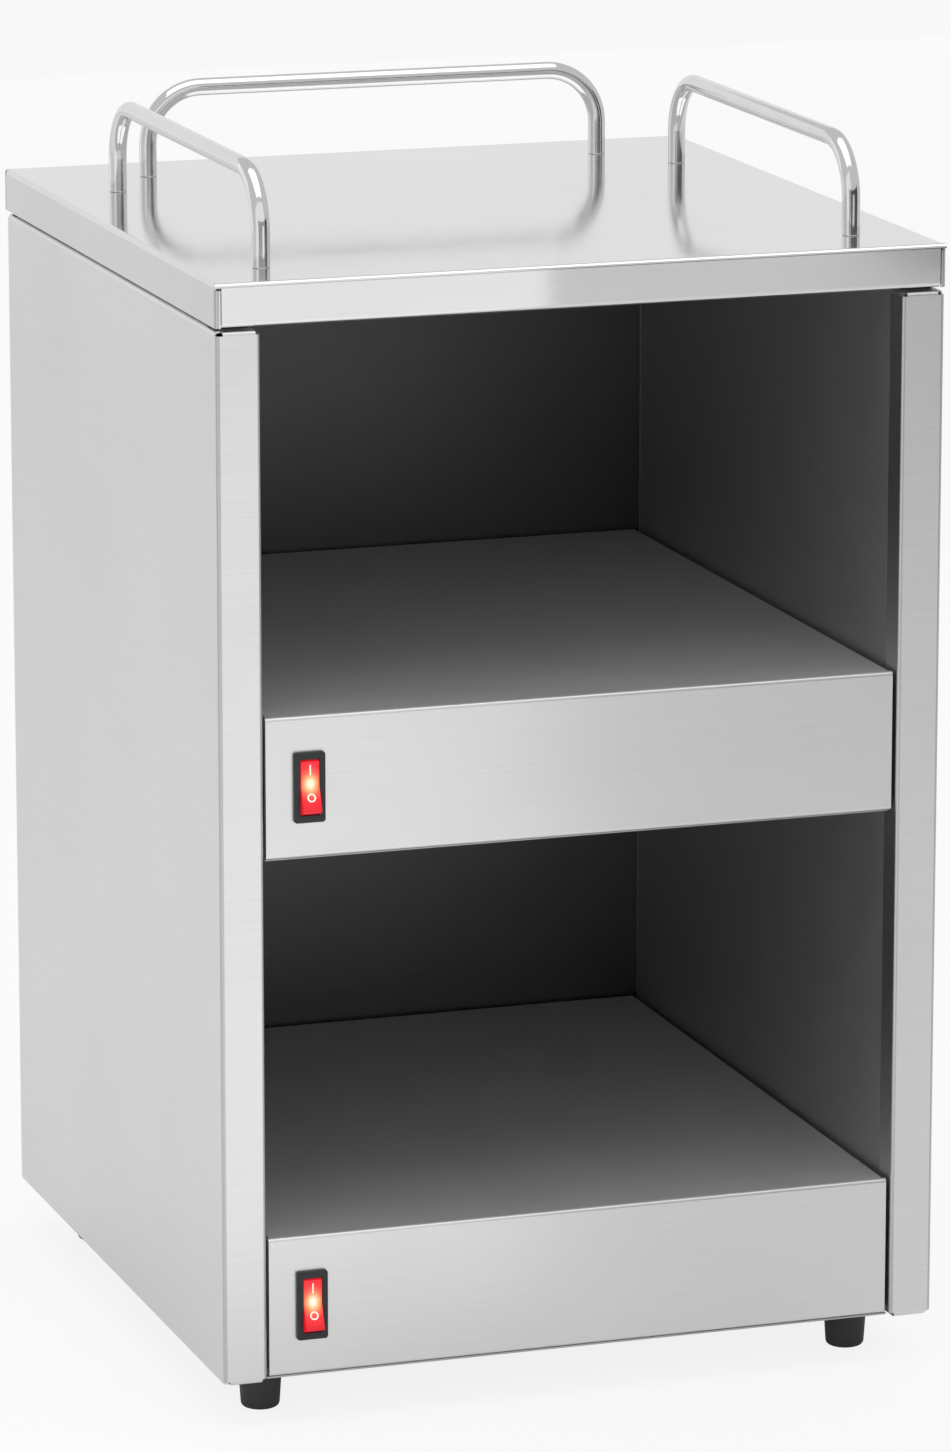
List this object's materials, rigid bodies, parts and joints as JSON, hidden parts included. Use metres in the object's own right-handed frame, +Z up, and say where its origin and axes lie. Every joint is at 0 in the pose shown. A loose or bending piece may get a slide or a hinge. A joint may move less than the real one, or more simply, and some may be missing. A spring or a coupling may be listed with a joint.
{
  "type": "cup warmer",
  "caption": "Open-fronted counter cabinet of brushed stainless sheet with heated shelves, lit rocker switches and a saucer gallery of bent rod on its cover.",
  "frame": {"origin": "on the counter, under the middle of the whole cabinet", "axes": "+Z up, -Y out of the open front, +X to the right as seen from the front"},
  "size_m": [0.3308, 0.3511, 0.5506],
  "materials": {
    "brushed_skin": "fine brushed stainless sheet",
    "inner_skin": "plain stainless sheet, seen in shade",
    "polished_rod": "polished stainless rod",
    "fastener_steel": "stainless fasteners",
    "foot_rubber": "matte dark rubber",
    "bezel_plastic": "satin black switch moulding",
    "rocker_lens": "glossy red lens, lit from inside",
    "lamp_glass": "clear neon lamp",
    "blade_brass": "tinned brass blades",
    "mat_silicone": "orange-brown silicone heating mat",
    "pad_fibre": "pale ceramic fibre",
    "control_body": "dark phenolic control",
    "pale_plastic": "pale terminal moulding",
    "gland_plastic": "black nylon gland",
    "wire_sleeve": "heat-proof wire sleeving"
  },
  "bodies": {
    "cabinet": {"top_cover": "brushed_skin", "left_side_panel": "brushed_skin", "right_side_panel": "brushed_skin", "back_panel": "brushed_skin", "upper_shelf": "brushed_skin", "lower_shelf": "brushed_skin", "left_inner_wall": "inner_skin", "right_inner_wall": "inner_skin", "ceiling_tray": "inner_skin", "base_plate": "inner_skin", "upper_shelf_underside": "inner_skin", "left_rail": "polished_rod", "right_rail": "polished_rod", "back_rail": "polished_rod", "front_left_foot": "foot_rubber", "front_right_foot": "foot_rubber", "rear_left_foot": "foot_rubber", "rear_right_foot": "foot_rubber", "terminal_block": "pale_plastic", "earth_stud": "fastener_steel", "cord_gland": "gland_plastic", "gland_locknut": "gland_plastic", "wire_grommets": "foot_rubber", "lower_wiring": "wire_sleeve", "upper_wiring": "wire_sleeve", "cover_screws": "fastener_steel", "back_panel_screws": "fastener_steel", "base_screws": "fastener_steel", "lower_shelf_screws": "fastener_steel", "underside_screws": "fastener_steel", "ceiling_rivets": "fastener_steel", "rail_washers": "fastener_steel", "rail_screws": "fastener_steel", "foot_screws": "fastener_steel", "foot_nuts": "fastener_steel", "shelf_side_screws": "fastener_steel", "shelf_side_spacers": "fastener_steel", "shelf_side_nuts": "fastener_steel", "lower_heating_mat": "mat_silicone", "lower_insulation_pad": "pad_fibre", "lower_clamp_bars": "inner_skin", "lower_clamp_nuts": "fastener_steel", "lower_control_nuts": "fastener_steel", "lower_thermostat": "control_body", "lower_thermal_cutout": "control_body", "lower_switch_housing": "bezel_plastic", "lower_switch_lamp": "lamp_glass", "lower_switch_terminals": "blade_brass", "upper_heating_mat": "mat_silicone", "upper_insulation_pad": "pad_fibre", "upper_clamp_bars": "inner_skin", "upper_clamp_nuts": "fastener_steel", "upper_control_nuts": "fastener_steel", "upper_thermostat": "control_body", "upper_thermal_cutout": "control_body", "upper_switch_housing": "bezel_plastic", "upper_switch_lamp": "lamp_glass", "upper_switch_terminals": "blade_brass"},
    "lower_rocker": {"lower_switch_rocker": "rocker_lens"},
    "upper_rocker": {"upper_switch_rocker": "rocker_lens"}
  },
  "joints": [
    {"name": "lower_switch", "type": "hinge", "parent": "cabinet", "child": "lower_rocker", "pos_m": [-0.1245, -0.1648, 0.0549], "axis": [1, 0, 0], "range_deg": [0, 22]},
    {"name": "upper_switch", "type": "hinge", "parent": "cabinet", "child": "upper_rocker", "pos_m": [-0.1245, -0.1648, 0.2864], "axis": [1, 0, 0], "range_deg": [0, 22]}
  ]
}
